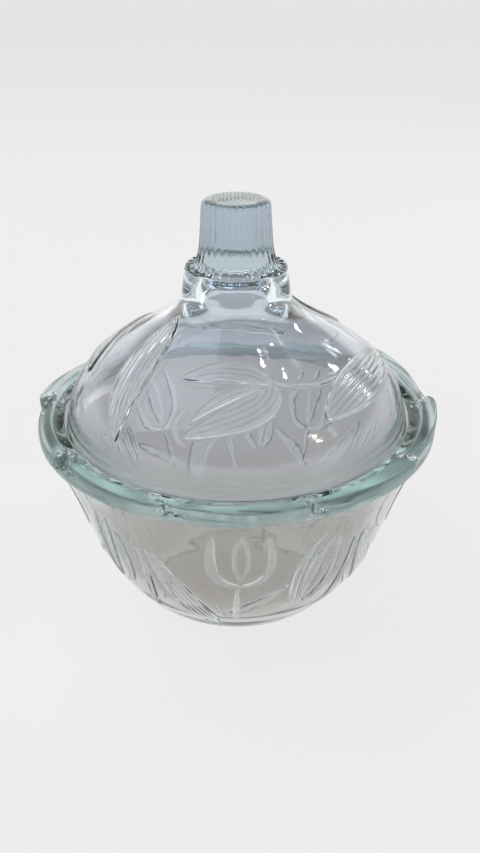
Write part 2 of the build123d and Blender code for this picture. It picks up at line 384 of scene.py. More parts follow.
def relief(points, normals, profile, by, motif, repeats, body, ridge):
    """Height, edge distance (mm, positive inside a blade) and line count at each point of a wall.

    For each blade, a point takes the place t of its nearest midrib point and its sideways distance d.
    The half width at t is W sin(pi t^p)^q, with p set so that it peaks at the blade's widest place, and
    the edge distance is that half width less |d|. Later blades lie over earlier ones: within a soft
    band at its edge, the newer blade's height and edge distance take over from what was there.
    """
    height = np.zeros(len(points))
    edge = np.full(len(points), FAR_EDGE)
    lines = np.zeros(len(points))
    t = np.linspace(0.0, 1.0, MIDRIB_SAMPLES)
    for repeat in range(repeats):
        for stem, half_width, widest, fullness, kind in motif:
            rib = cubic(stem, MIDRIB_SAMPLES)
            rib3 = on_surface(rib[:, 0] + 360 / repeats * repeat, rib[:, 1] * MM, profile, by)
            reach = (half_width + BLADE_MARGIN) * MM
            low, high = rib3.min(axis=0) - reach, rib3.max(axis=0) + reach
            near = np.flatnonzero(np.all((points > low) & (points < high), axis=1))
            if len(near) == 0:
                continue
            gaps = np.linalg.norm(points[near][:, None, :] - rib3[None], axis=2)
            nearest = np.clip(gaps.argmin(axis=1), 1, MIDRIB_SAMPLES - 2)
            run = rib3[nearest + 1] - rib3[nearest - 1]
            off = points[near] - rib3[nearest]
            length2 = np.einsum("ij,ij->i", run, run)
            slip = np.clip(np.einsum("ij,ij->i", off, run) / length2, -1.0, 1.0)
            where = np.clip(t[nearest] + slip * 2 / (MIDRIB_SAMPLES - 1), 0.0, 1.0)
            off = off - slip[:, None] * run
            side = np.cross(normals[near], run)
            side /= np.linalg.norm(side, axis=1, keepdims=True)
            across = np.einsum("ij,ij->i", off, side) / MM
            far = np.linalg.norm(off, axis=1) / MM
            power = np.log(0.5) / np.log(widest)
            half = half_width * np.maximum(np.sin(np.pi * where ** power), 0.0) ** fullness
            gap = np.maximum(half - far, FAR_EDGE)
            count = across / LINE_PITCH if kind == ALONG else np.full(len(near), BETWEEN_LINES)
            height[near] = height[near] * (1 - between(*HEIGHT_BAND, gap)) + raise_height(gap, body, ridge)
            nearer = np.maximum(edge[near], gap)
            edge[near] = nearer + (gap - nearer) * between(*EDGE_BAND, gap)
            inside = gap > LINES_START
            lines[near[inside]] = count[inside]
    return height, edge, lines


def embossed(profile, angles, by, motif, repeats, size):
    """A wall of rows by columns with its relief standing out along the wall's own normal.

    The relief fades to nothing by a smooth step over a few rows at either end.
    """
    rows, columns = len(profile), len(angles)
    grid = place(spread(profile, columns), angles[None, :])
    normal = place(spread(outward(profile), columns), angles[None, :])
    height, edge, lines = relief(
        grid.reshape(-1, 3), normal.reshape(-1, 3), profile, by, motif, repeats,
        size.relief_body, size.relief_ridge)
    share = np.linspace(0.0, 1.0, rows)
    keep = between(0.0, RELIEF_FADE, share) * between(0.0, RELIEF_FADE, 1.0 - share)
    edge = edge.reshape(rows, columns)
    edge = FAR_EDGE + (edge - FAR_EDGE) * np.where(keep > WHOLE_RELIEF, 1.0, keep)[:, None]
    lift = height.reshape(rows, columns) * keep[:, None]
    values = plain_values(rows, columns)
    values[..., 0] = edge
    values[..., 1] = lines.reshape(rows, columns)
    return grid + normal * lift[..., None], values


def petal_columns():
    """Phase and petal of every column round the bowl. More columns lie close to each petal's end.

    The phase runs from 0.5 to 1.5: below 1 a column is on the petal that ends there, above 1 on the next.
    """
    plain = BOWL_COLUMNS_PER_PETAL - STEP_COLUMNS
    half = STEP_SHARE / 2
    before = np.linspace(0.5, 1 - half, plain // 2, endpoint=False)
    step = np.linspace(1 - half, 1 + half, STEP_COLUMNS, endpoint=False)
    after = np.linspace(1 + half, 1.5, plain // 2, endpoint=False)
    phase = np.concatenate([before, step, after])
    tips = FIRST_TIP_DEG + PETAL_SPAN_DEG * np.arange(PETALS)
    angles = tips[:, None] + (phase[None, :] - 1) * PETAL_SPAN_DEG
    return np.radians(angles.ravel()), np.tile(phase, PETALS)


def petal_edge(phase, size):
    """Radius and height of the petals' outer edge.

    Along a petal's place s from 0 to 1, the radius climbs in line to the crest with a slight bow, then
    falls by a quarter ellipse, and the height climbs in line. At a petal's end both pass by a smooth step
    to the start of the next petal.
    """
    crest = 1 - CREST_DEG / PETAL_SPAN_DEG

    def at(s):
        s = np.clip(s, 0.0, 1.0)
        x = np.clip(s / crest, 0.0, 1.0)
        y = np.clip((s - crest) / (1 - crest), 0.0, 1.0)
        radius = size.rim_radius - size.petal_step_in * (1 - x) + 4 * PETAL_BOW * x * (1 - x)
        radius = radius - TIP_DROP * (1 - np.sqrt(1 - y * y))
        return radius, RIM_Z - size.petal_step_down * (1 - s)

    ending, starting = at(phase), at(phase - 1)
    share = between(1 - STEP_SHARE / 4, 1 + STEP_SHARE / 4, phase)
    return [e * (1 - share) + s * share for e, s in zip(ending, starting)]


def bowl_wall(base_radius, base_z, top_radius, top_z, scale):
    """Wall profile: a cubic curve that keeps the flare slopes at its two ends."""
    low, high = radians(BASE_FLARE_DEG), radians(TOP_FLARE_DEG)
    first, last = BASE_FLARE_REACH * scale, TOP_FLARE_REACH * scale
    return cubic([
        (base_radius, base_z),
        (base_radius + first * np.cos(low), base_z + first * np.sin(low)),
        (top_radius - last * np.cos(high), top_z - last * np.sin(high)),
        (top_radius, top_z),
    ])


def dome(edge_radius, neck_radius):
    """Dome profile: a cubic curve that is upright at the lid's edge and at the neck."""
    return cubic([
        (edge_radius, LID_EDGE_Z),
        (edge_radius, LID_EDGE_Z + DOME_LOWER_REACH),
        (neck_radius, NECK_Z - DOME_UPPER_REACH),
        (neck_radius, NECK_Z),
    ])


def make_bowl_shell(size, material):
    """The bowl as one closed shell: foot, embossed wall, ring, petals, seat and inside."""
    angles, phase = petal_columns()
    fine = len(angles)
    coarse_angles = angles[::STITCH]
    coarse = len(coarse_angles)
    ring_radius = size.rim_radius - RING_INSET
    wall_top = ring_radius - RING_OVERHANG
    ring_z = RIM_Z - size.petal_step_down - PETAL_THICKNESS
    edge_radius, edge_z = petal_edge(phase, size)
    face_radius = size.rim_radius - FACE_WIDTH
    seat_radius = size.rim_radius - SEAT_INSET
    mouth_radius = seat_radius - LEDGE_WIDTH
    groove_z = RIM_Z - GROOVE_DROP
    lip_z = ring_z + RING_HEIGHT

    wall = bowl_wall(size.base_radius, 0.0, wall_top, ring_z, 1.0)
    start = np.searchsorted(wall[:, 1], BASE_ROUND)
    wall = even(wall[start:], BOWL_WALL_ROWS)

    shell = Shell()
    shell.pole(FOOT_RECESS)
    foot = rounded([
        (FOOT_CENTRE, FOOT_RECESS),
        (FOOT_RECESS_RADIUS - FOOT_RECESS, FOOT_RECESS),
        (FOOT_RECESS_RADIUS, 0.0),
        (size.base_radius, 0.0),
        wall[0],
    ], coarse, FOOT_ROUNDS)
    shell.rings(place(foot[:-1], coarse_angles))

    shell.rings(*embossed(wall, angles, 1, BOWL_MOTIF, BOWL_REPEATS, size))

    rim = rounded([
        wall[-1],
        (wall_top + RING_SHELF, ring_z),
        (ring_radius, ring_z),
        (ring_radius, lip_z),
        (edge_radius, lip_z + PETAL_UNDERSIDE),
        (edge_radius, edge_z),
        (face_radius, edge_z),
        (face_radius, groove_z),
        (face_radius - GROOVE_FINE_END[0], groove_z - GROOVE_FINE_END[1]),
    ], fine, RIM_ROUNDS)[1:]
    lean = np.clip((size.rim_radius - rim[..., 0]) / FACE_WIDTH, 0.0, 1.0)
    lean[rim[..., 1] < lip_z + LEAN_START] = 0.0
    lean[len(rim) - 2 * CORNER_STEPS:] = 1.0
    values = plain_values(len(rim), fine)
    # The crackle mask roughens each petal's end, and also paints a highlight there in the glass's colour.
    values[..., 2] = np.exp(-((phase - 1) / CRACKLE_SPREAD) ** 2)[None, :] * (rim[..., 1] > lip_z)
    shell.rings(place(rim, angles[None, :] - radians(TIP_LEAN_DEG) * lean), values)

    inside = bowl_wall(
        size.base_radius - size.wall, FLOOR_THICKNESS, mouth_radius, LEDGE_Z,
        (LEDGE_Z - FLOOR_THICKNESS) / ring_z)[::-1]
    below_mouth = np.searchsorted(-inside[:, 1], -(LEDGE_Z - MOUTH_ROUND))
    stop = np.searchsorted(-inside[:, 1], -(FLOOR_THICKNESS + INNER_BASE_ROUND * INNER_BASE_START))
    seat = rounded([
        (face_radius - GROOVE_COARSE_START[0], groove_z - GROOVE_COARSE_START[1]),
        (seat_radius + SEAT_LEAN, LEDGE_Z + SEAT_RISE),
        (seat_radius, LEDGE_Z),
        (mouth_radius, LEDGE_Z),
        inside[below_mouth],
    ], coarse, SEAT_ROUNDS)
    turned = coarse_angles - radians(TIP_LEAN_DEG)
    shell.rings(place(seat, turned))
    shell.rings(place(spread(even(inside[below_mouth:stop], BOWL_INSIDE_ROWS)[1:], coarse), turned))
    base = rounded([
        inside[stop - 1],
        (size.base_radius - size.wall, FLOOR_THICKNESS),
        (FLOOR_CENTRE, FLOOR_THICKNESS),
    ], coarse, (INNER_BASE_ROUND,), SOFT_CORNER_STEPS)
    shell.rings(place(base[1:], turned))
    shell.pole(FLOOR_THICKNESS)
    return shell.build("bowl_glass_shell", material)


def knob_side(size, height):
    """Radius of the knob's straight side at a height above the shoulder."""
    return size.knob_foot_radius + (size.knob_top_radius - size.knob_foot_radius) * height / KNOB_HEIGHT


def knob_outline(size):
    """Neck, shoulder, flare, side and top of the knob, as (radius, height) points from the dome up."""
    flare_radius = size.knob_foot_radius + FLARE_WIDTH
    neck_top = flare_radius + SHOULDER_WIDTH
    bend = FLARE_HEIGHT * FLARE_BEND
    shoulder = np.array([(flare_radius + SHOULDER_WIDTH * share, KNOB_Z)
                         for share in np.linspace(SHOULDER_START, 0.0, SHOULDER_ROWS)[:-1]])
    flare = even(cubic([
        (flare_radius, KNOB_Z),
        (flare_radius - FLARE_WIDTH * FLARE_PULL, KNOB_Z),
        (knob_side(size, bend), KNOB_Z + bend),
        (knob_side(size, FLARE_HEIGHT), KNOB_Z + FLARE_HEIGHT),
    ]), FLARE_ROWS)
    heights = np.linspace(FLARE_HEIGHT, KNOB_HEIGHT - KNOB_TOP_ROUND, KNOB_SIDE_ROWS)[1:-1]
    side = np.stack([knob_side(size, heights), KNOB_Z + heights], axis=1)

    def corner(points, reach):
        return rounded(points, 1, (reach,), SOFT_CORNER_STEPS)[1:-1, 0]

    start = corner([(neck_top + NECK_TAPER, NECK_Z), (neck_top, KNOB_Z), (flare_radius, KNOB_Z)],
                   SHOULDER_ROUND)
    end = corner([side[-1], (size.knob_top_radius, TOP_Z), (KNOB_TOP_FLAT, TOP_Z)], KNOB_TOP_ROUND)
    neck = np.linspace((neck_top + NECK_TAPER, NECK_Z), start[0], NECK_ROWS)[1:-1]
    shoulder = shoulder[shoulder[:, 0] < start[-1, 0]]
    return np.concatenate([neck, start, shoulder, flare, side, end, [(KNOB_TOP_FLAT, TOP_Z)]])


def fluted(outline, angles, size):
    """The knob's outline at every angle, less its flutes.

    A flute is cut by a round bar of radius R that lies along the flare and the side, a depth D into
    them, and starts with a round end at the foot of the flare. At a distance x across the flute and s
    out past its start, and g inside the line of the side, the cut is sqrt(R^2 - x^2 - s^2) - (R - D) - g.
    """
    pitch = 2 * np.pi / FLUTES
    half_width = (pitch * size.knob_top_radius - FLUTE_LAND) / 2
    bar = (half_width ** 2 + size.flute_depth ** 2) / (2 * size.flute_depth)
    radius, height = outline[:, 0], outline[:, 1] - KNOB_Z
    past_start = np.where(height < FLARE_HEIGHT / 2, radius - size.knob_foot_radius - FLARE_WIDTH, 0.0)
    past_start = np.maximum(past_start, 0.0)
    inside_side = np.where(height > FLARE_HEIGHT, knob_side(size, height) - radius, 0.0)
    across = (angles / pitch % 1.0 - 0.5)[None, :] * pitch * radius[:, None]
    deep = np.sqrt(np.maximum(bar ** 2 - across ** 2 - past_start[:, None] ** 2, 0.0))
    cut = np.maximum(deep - (bar - size.flute_depth) - np.maximum(inside_side, 0.0)[:, None], 0.0)
    return outline[:, None, :] - cut[..., None] * outward(outline)[:, None, :]


def make_lid_shell(size, material):
    """The lid as one closed shell: edge, embossed dome, neck, fluted knob and the hollow inside."""
    angles = np.linspace(-np.pi, np.pi, LID_COLUMNS, endpoint=False)
    half = angles[::2]
    coarse = angles[::STITCH]
    inner_radius = LID_RADIUS - size.wall
    dome_radius = LID_RADIUS - LID_EDGE_STEP
    roof_z = KNOB_Z - NECK_ROOF
    neck_radius = size.knob_foot_radius + FLARE_WIDTH + SHOULDER_WIDTH + NECK_TAPER

    shell = Shell()
    shell.pole(roof_z)
    bore = rounded([
        (BORE_CENTRE, roof_z),
        (BORE_END_RADIUS, roof_z),
        (BORE_RADIUS, NECK_Z),
    ], len(coarse), (BORE_END_ROUND,), SOFT_CORNER_STEPS)
    shell.rings(place(bore, coarse))
    inside = even(dome(inner_radius, BORE_RADIUS)[::-1], DOME_INSIDE_ROWS)
    shell.rings(place(spread(inside[1:], len(coarse)), coarse))

    outer = even(dome(dome_radius, neck_radius), DOME_ROWS)
    lip = rounded([
        (inner_radius, LID_EDGE_Z),
        (inner_radius, LEDGE_Z),
        (LID_RADIUS, LEDGE_Z),
        (LID_RADIUS, LID_EDGE_Z),
        (dome_radius, LID_EDGE_Z),
        outer[1],
    ], len(coarse), LID_EDGE_ROUNDS)
    shell.rings(place(lip[1:-1], coarse))
    shell.rings(*embossed(outer[1:], angles, 0, LID_MOTIF, LID_REPEATS, size))
    shell.rings(place(fluted(knob_outline(size), half, size), half))
    shell.pole(TOP_Z)
    return shell.build("lid_glass_shell", material)


# Materials
def new_group(name, inputs, outputs):
    """An empty shader node group. Each of its sockets is a plain number, or a colour where None is given."""
    group = bpy.data.node_groups.new(name, "ShaderNodeTree")
    for side, sockets in (("INPUT", inputs), ("OUTPUT", outputs)):
        for label, value in sockets.items():
            kind = "NodeSocketColor" if value is None else "NodeSocketFloat"
            socket = group.interface.new_socket(label, in_out=side, socket_type=kind)
            if value is not None:
                socket.default_value = value
    return group, group.nodes.new("NodeGroupInput"), group.nodes.new("NodeGroupOutput")


def new_tree(holder):
    """The empty node tree of a material or world."""
    holder.use_nodes = True
    holder.node_tree.nodes.clear()
    return holder.node_tree


def put(tree, kind, values=None, **traits):
    """A new node with its traits, and values or links on its sockets, given by name or number."""
    node = tree.nodes.new(kind)
    for trait, value in traits.items():
        setattr(node, trait, value)
    for label, value in (values or {}).items():
        if isinstance(value, bpy.types.NodeSocket):
            tree.links.new(value, node.inputs[label])
        else:
            node.inputs[label].default_value = value
    return node


def put_group(tree, name, values):
    """One of the node groups below, placed in a tree."""
    return put(tree, "ShaderNodeGroup", values, node_tree=bpy.data.node_groups[name])


def calc(tree, operation, *values):
    """Result of a Math node with its values or links."""
    return put(tree, "ShaderNodeMath", dict(enumerate(values)), operation=operation).outputs[0]


def ease(tree, value, low, high):
    """Smooth step of a link: 0 below low and 1 above high."""
    return put(tree, "ShaderNodeMapRange", {"Value": value, "From Min": low, "From Max": high},
               interpolation_type="SMOOTHSTEP").outputs[0]


MIX_FACTOR, MIX_FIRST, MIX_SECOND, MIX_RESULT = 0, 6, 7, 2  # sockets that a Mix node has for colours


def blend(tree, factor, first, second):
    """Colour between two, each a link or a plain colour, by a link from 0 to 1."""
    values = {MIX_FACTOR: factor, MIX_FIRST: first, MIX_SECOND: second}
    return put(tree, "ShaderNodeMix", values, data_type="RGBA").outputs[MIX_RESULT]


def relief_group():
    """Fine height of the pressed pattern: a raised outline along each blade's edge and lines inside it.

    The outline is exp(-k d^2) of the distance d from its middle, and the lines are (1 + cos 2 pi n) / 2
    of the line count n, eased in from the edge.
    """
    group, given, out = new_group(
        "pressed_pattern",
        {"Edge": FAR_EDGE, "Lines": 0.0, "Outline Height": 1.0, "Line Height": 0.5},
        {"Height": 0.0},
    )
    edge, count = given.outputs["Edge"], given.outputs["Lines"]
    off = calc(group, "SUBTRACT", edge, OUTLINE_INSET)
    square = calc(group, "MULTIPLY", calc(group, "MULTIPLY", off, off), -OUTLINE_SHARPNESS)
    bell = calc(group, "EXPONENT", square)
    outline = calc(group, "MULTIPLY", bell, given.outputs["Outline Height"])
    wave = calc(group, "COSINE", calc(group, "MULTIPLY", count, 2 * pi))
    wave = calc(group, "MULTIPLY_ADD", wave, 0.5, 0.5)
    wave = calc(group, "MULTIPLY", wave, ease(group, edge, *LINE_RISE))
    lines = calc(group, "MULTIPLY", wave, given.outputs["Line Height"])
    group.links.new(calc(group, "ADD", outline, lines), out.inputs["Height"])


WAVE_DETAIL = 1.5
RIPPLE_DETAIL = 2.0
SMUDGE_SCALE = 55.0
SMUDGE_DETAIL = 4.0
SMUDGE_BAND = (0.5, 0.75)


def waviness_group():
    """Height of pressed glass's own unevenness: long waves from the mould, finer ripples and crackle."""
    group, given, out = new_group(
        "mould_waviness",
        {"Long Wave": 1.0, "Ripple": 0.2, "Wave Scale": 40.0, "Ripple Scale": 260.0,
         "Crackle": 0.0, "Crackle Scale": 520.0},
        {"Height": 0.0, "Smudge": 0.0},
    )
    where = group.nodes.new("ShaderNodeTexCoord").outputs["Object"]

    def noise(scale, detail):
        values = {"Vector": where, "Scale": scale, "Detail": detail}
        return put(group, "ShaderNodeTexNoise", values).outputs["Fac"]

    waves, ripples, crackle = [
        calc(group, "MULTIPLY", noise(given.outputs[scale], detail), given.outputs[height])
        for scale, height, detail in (
            ("Wave Scale", "Long Wave", WAVE_DETAIL),
            ("Ripple Scale", "Ripple", RIPPLE_DETAIL),
            ("Crackle Scale", "Crackle", 0.0),
        )
    ]
    uneven = calc(group, "ADD", calc(group, "ADD", waves, ripples), crackle)
    group.links.new(uneven, out.inputs["Height"])
    smudge = ease(group, noise(SMUDGE_SCALE, SMUDGE_DETAIL), *SMUDGE_BAND)
    group.links.new(smudge, out.inputs["Smudge"])


def rim_tint_group():
    """Colour of the glass: the wall's colour (painted shade), and another where it stands above and outside
    given bounds.
    """
    group, given, out = new_group(
        "thick_rim_tint",
        {"Wall": None, "Rim": None, "Above": 0.0, "Outside": 0.0},
        {"Color": None, "Mask": 0.0},
    )
    where = group.nodes.new("ShaderNodeTexCoord").outputs["Object"]
    x, y, z = put(group, "ShaderNodeSeparateXYZ", {"Vector": where}).outputs
    away = calc(group, "ADD", calc(group, "MULTIPLY", x, x), calc(group, "MULTIPLY", y, y))
    away = calc(group, "SQRT", away)
    above, outside = [
        ease(group, calc(group, "SUBTRACT", value, given.outputs[bound]), 0.0, RIM_TINT_BLEND)
        for value, bound in ((z, "Above"), (away, "Outside"))
    ]
    mask = calc(group, "MULTIPLY", above, outside)
    group.links.new(mask, out.inputs["Mask"])
    tinted = blend(group, mask, given.outputs["Wall"], given.outputs["Rim"])
    group.links.new(tinted, out.inputs["Color"])


SHADOW_TINT = (0.86, 0.87, 0.87)


def tinted_zone(tree, wall, tint, bounds):
    """The tint group placed with its colour and bounds, over the wall's colour or a link to one."""
    return put_group(tree, "thick_rim_tint", {
        "Wall": wall,
        "Rim": (*tint, 1.0),
        "Above": bounds[0],
        "Outside": bounds[1],
    })


def glass_material(name, tint, rim_tint, rim_bounds, knob_shade_and_sheen, look):
    """Clear pressed glass: plain transmission, pattern and waviness as a normal, faint colour in depth,
    painted shade in its colour, and painted highlights on crests and petal ends.
    """
    tree = new_tree(bpy.data.materials.new(name))
    # Painted shade: the wall's colour darkens the clear glass, on the lid with a painted cool reflection;
    # the thick edges' aqua is the glass's own, and the knob takes a deeper painted shade.
    rim = tinted_zone(tree, (*tint, 1.0), rim_tint, rim_bounds)
    body = rim.outputs["Color"]
    if knob_shade_and_sheen is not None:
        body = tinted_zone(tree, body, knob_shade_and_sheen, KNOB_BOUNDS).outputs["Color"]

    edge, lines, crackle = [
        put(tree, "ShaderNodeAttribute", attribute_name=label).outputs["Fac"] for label in POINT_VALUES]
    pattern = put_group(tree, "pressed_pattern", {
        "Edge": edge,
        "Lines": lines,
        "Outline Height": 1.0,
        "Line Height": look.line_share,
    }).outputs["Height"]
    waves = put_group(tree, "mould_waviness", {
        "Long Wave": look.wave_share,
        "Ripple": look.ripple_share,
        "Crackle": calc(tree, "MULTIPLY", crackle, look.crackle_share),
    }).outputs
    bump = put(tree, "ShaderNodeBump", {
        "Distance": look.pattern_height,
        "Height": calc(tree, "ADD", pattern, waves["Height"]),
    })

    # Handling marks, the pattern's crests, the lid's edge and the petals before their ends are hazier.
    crest = calc(tree, "MINIMUM", pattern, 1.0)
    petals = calc(tree, "MAXIMUM", calc(tree, "SUBTRACT", rim.outputs["Mask"], crackle), 0.0)
    rough = calc(tree, "MULTIPLY_ADD", waves["Smudge"], look.smudge, look.polish)
    rough = calc(tree, "MULTIPLY_ADD", petals, look.rim_haze, rough)
    rough = calc(tree, "MULTIPLY_ADD", crest, look.crest_haze, rough)

    # Painted highlight: the crests of the pattern and the crackled petal ends are painted paler than the
    # wall, towards the near-white crest tint.
    pale = calc(tree, "MULTIPLY_ADD", crest, look.crest_reach, crackle)
    pale = calc(tree, "MINIMUM", pale, 1.0)
    glass = put(tree, "ShaderNodeBsdfPrincipled", {
        "Base Color": blend(tree, pale, body, (*look.crest_highlight_tint, 1.0)),
        "Roughness": rough,
        "Normal": bump.outputs["Normal"],
        "Transmission Weight": 1.0,
        "IOR": look.ior,
    })

    # Lamps reach what stands behind and under the glass.
    shadow = tree.nodes.new("ShaderNodeLightPath").outputs["Is Shadow Ray"]
    open_to_lamps = put(tree, "ShaderNodeBsdfTransparent", {"Color": (*SHADOW_TINT, 1.0)})
    mix = put(tree, "ShaderNodeMixShader", {0: shadow, 1: glass.outputs[0], 2: open_to_lamps.outputs[0]})
    depth = put(tree, "ShaderNodeVolumeAbsorption", {
        "Color": (*look.depth_colour, 1.0),
        "Density": look.density,
    })
    put(tree, "ShaderNodeOutputMaterial", {"Surface": mix.outputs[0], "Volume": depth.outputs[0]})


# Settings
def length(name, about, value):
    """A length property, in metres."""
    return FloatProperty(name=name, description=about, default=value, min=0.0, unit="LENGTH")


def colour(name, about, value):
    """A colour property, in linear red, green and blue."""
    return FloatVectorProperty(name=name, description=about, default=value, size=3, min=0.0, max=1.0,
                               subtype="COLOR")


def amount(name, about, value, highest=1.0):
    """A plain number property."""
    return FloatProperty(name=name, description=about, default=value, min=0.0, max=highest)


class DishBowlSettings(bpy.types.PropertyGroup):
    """Sizes of the bowl."""

    rim_radius: length("Rim radius", "Petal tips from the axis", 80 * MM)
    base_radius: length("Base radius", "Where the wall would meet the table", 44.8 * MM)
    wall: length("Wall", "Thickness of the bowl's wall at its base", 4.6 * MM)
    petal_step_in: length("Petal step in", "How far a petal starts inside its tip", 4.6 * MM)
    petal_step_down: length("Petal step down", "How far a petal starts below its tip", 2.6 * MM)
    relief_body: length("Relief height", "How far leaves and tulips stand out of the wall", 0.35 * MM)
    relief_ridge: length("Relief outline", "How far their outlines stand out further", 0.2 * MM)


class DishLidSettings(bpy.types.PropertyGroup):
    """Sizes of the lid."""

    wall: length("Wall", "Thickness of the lid's wall at its edge", 4.2 * MM)
    knob_foot_radius: length("Knob foot", "Knob's side, carried down to its shoulder", 14.2 * MM)
    knob_top_radius: length("Knob top", "Radius of the knob at its top", 12.4 * MM)
    flute_depth: length("Flute depth", "Depth of the flutes round the knob", 0.6 * MM)
    relief_body: length("Relief height", "How far leaves and tulips stand out of the dome", 0.8 * MM)
    relief_ridge: length("Relief outline", "How far their outlines stand out further", 0.2 * MM)


class DishGlassSettings(bpy.types.PropertyGroup):
    """Look of the glass."""

    # Painted shade: this greige darkens the clear bowl as the dim surroundings seen through it would.
    bowl_painted_shade: colour("Bowl tint", "Colour that the bowl's wall passes", (0.66, 0.625, 0.61))
    rim_tint: colour("Rim tint", "Colour that the thick petals pass", (0.78, 0.92, 0.935))
    lid_shade_and_sheen: colour("Lid tint", "Colour that the lid's surfaces pass", (0.675, 0.70, 0.75))
    # Painted shade with a painted cool reflection: this bluish grey darkens the clear lid and cools it as a
    # blue window's reflection would.
    lid_edge_tint: colour("Lid edge tint", "Colour that the lid's upright edge passes", (0.80, 0.88, 0.88))
    # Painted shade with a painted cool reflection: this deeper blue-grey darkens the clear knob and cools
    # it.
    knob_shade_and_sheen: colour("Knob tint", "Colour that the knob's surfaces pass", (0.55, 0.595, 0.68))
    # Painted highlight: the pattern's crests and the petal ends are painted towards this near-white.
    crest_highlight_tint: colour("Crest tint", "Colour that the crests of the pattern pass", (0.97, 0.985, 1.0))
    depth_colour: colour("Depth colour", "Colour of thick glass", (0.35, 0.84, 0.82))
    density: amount("Depth density", "How fast thick glass takes that colour, for each metre", 6.5, 200.0)
    ior: amount("Index", "Refractive index of the glass", 1.5, 2.5)
    pattern_height: length("Fine height", "Height of outlines and fine lines", 0.42 * MM)
    line_share: amount("Line share", "Height of fine lines beside outlines", 0.45)
    wave_share: amount("Wave share", "Height of the mould's long waves beside outlines", 1.8, 4.0)
    ripple_share: amount("Ripple share", "Height of its fine ripples beside outlines", 0.06, 4.0)
    crackle_share: amount("Crackle share", "Height of the rough petal ends beside outlines", 3.4, 8.0)
    rim_haze: amount("Rim haze", "Roughness added in the petals and the lid's edge", 0.26)
    # How widely the painted highlight spreads over the pattern's crests.
    crest_reach: amount("Crest reach", "How widely the crests take the crest tint", 1.9, 4.0)
    crest_haze: amount("Crest haze", "Roughness added on the crests of the pattern", 0.22)
    smudge: amount("Smudge", "Roughness added by handling marks", 0.05)
    polish: amount("Polish", "Roughness of the clean glass", 0.045)


class DishStageSettings(bpy.types.PropertyGroup):
    """Floor, surroundings and lights."""

    floor_colour: colour("Floor", "Colour of the floor", (0.80, 0.765, 0.73))
    floor_look: colour("Floor look", "Colour that the floor is evened out to", (0.98, 0.975, 0.97))
    floor_evenness: amount("Floor evenness", "How far the floor is evened out", 0.68)
    horizon: colour("Horizon", "Surroundings level with the eye", (1.0, 0.98, 0.96))
    middle: colour("Middle", "Surroundings above the horizon", (0.24, 0.22, 0.205))
    overhead: colour("Overhead", "Surroundings above", (0.25, 0.29, 0.36))
    surroundings: amount("Surroundings", "Strength of the surroundings", 1.4, 10.0)
    overhead_power: amount("Overhead light", "Power of the large cool softbox, in watts", 7.5, 1000.0)
    strip_power: amount("Strip light", "Power of the upright strip at the left, in watts", 0.25, 1000.0)
    window_power: amount("Window", "Power of the window light at the right, in watts", 1.2, 1000.0)
    spark_power: amount("Small lamps", "Power of each small lamp, in watts", 0.4, 1000.0)


def settings():
    """The scene's settings for the dish."""
    return bpy.context.scene.candy_dish


class DishSettings(bpy.types.PropertyGroup):
    """All settings of the dish."""

    bowl: PointerProperty(type=DishBowlSettings)
    lid: PointerProperty(type=DishLidSettings)
    glass: PointerProperty(type=DishGlassSettings)
    stage: PointerProperty(type=DishStageSettings)


class DISH_OT_materials(bpy.types.Operator):
    """Make the shared node groups and the two glasses"""

    bl_idname = "dish.materials"
    bl_label = "Glass"

    def execute(self, context):
        look = settings().glass
        relief_group()
        waviness_group()
        rim_tint_group()
        glass_material("bowl_pressed_glass", look.bowl_painted_shade, look.rim_tint, RIM_BOUNDS, None, look)
        glass_material(
            "lid_pressed_glass", look.lid_shade_and_sheen, look.lid_edge_tint, LID_EDGE_BOUNDS, look.knob_shade_and_sheen, look)
        return {"FINISHED"}


class DISH_OT_bowl(bpy.types.Operator):
    """Make the bowl with its petal rim and pressed tulips"""

    bl_idname = "dish.bowl"
    bl_label = "Bowl"

    def execute(self, context):
        piece = make_bowl_shell(settings().bowl, bpy.data.materials["bowl_pressed_glass"])
        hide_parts("bowl")
        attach(piece, "bowl_body")
        return {"FINISHED"}


class DISH_OT_lid(bpy.types.Operator):
    """Make the lid with its pressed leaves, neck and ribbed knob"""

    bl_idname = "dish.lid"
    bl_label = "Lid"

    def execute(self, context):
        piece = make_lid_shell(settings().lid, bpy.data.materials["lid_pressed_glass"])
        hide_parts("lid")
        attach(piece, "lid_body")
        return {"FINISHED"}


FLOOR_HALF = 12.0
FLOOR_ROUGHNESS = 0.9
FLOOR_GLOSS = 0.1
LIGHTS = [
    # name, place, size, colour, setting
    ("overhead_softbox", (-0.75, 0.25, 1.35), (1.5, 1.1), (0.82, 0.90, 1.0), "overhead_power"),
    ("left_strip", (-0.90, 0.55, 0.40), (0.10, 0.60), (1.0, 0.98, 0.95), "strip_power"),
    ("right_window", (0.84, 0.62, 0.80), (0.07, 0.12), (0.96, 0.98, 1.0), "window_power"),
    ("lamp_right_back", (0.61, 0.86, 0.64), (0.05, 0.05), (1.0, 1.0, 1.0), "spark_power"),
    ("lamp_right", (0.82, -0.42, 0.84), (0.07, 0.05), (1.0, 0.99, 0.96), "spark_power"),
    ("lamp_right_warm", (0.89, -0.48, 0.75), (0.045, 0.045), (1.0, 0.87, 0.62), "spark_power"),
    ("lamp_high", (0.50, 0.14, 1.17), (0.03, 0.025), (1.0, 1.0, 1.0), "spark_power"),
    ("lamp_top", (0.29, 0.04, 1.25), (0.025, 0.025), (1.0, 0.99, 0.97), "spark_power"),
]
LIGHT_AIM = (0.0, 0.0, 0.07)
# Height of a direction, and the colour of the surroundings there
SKY_STOPS = ((0.22, "horizon"), (0.38, "middle"), (0.60, "middle"), (0.85, "overhead"))


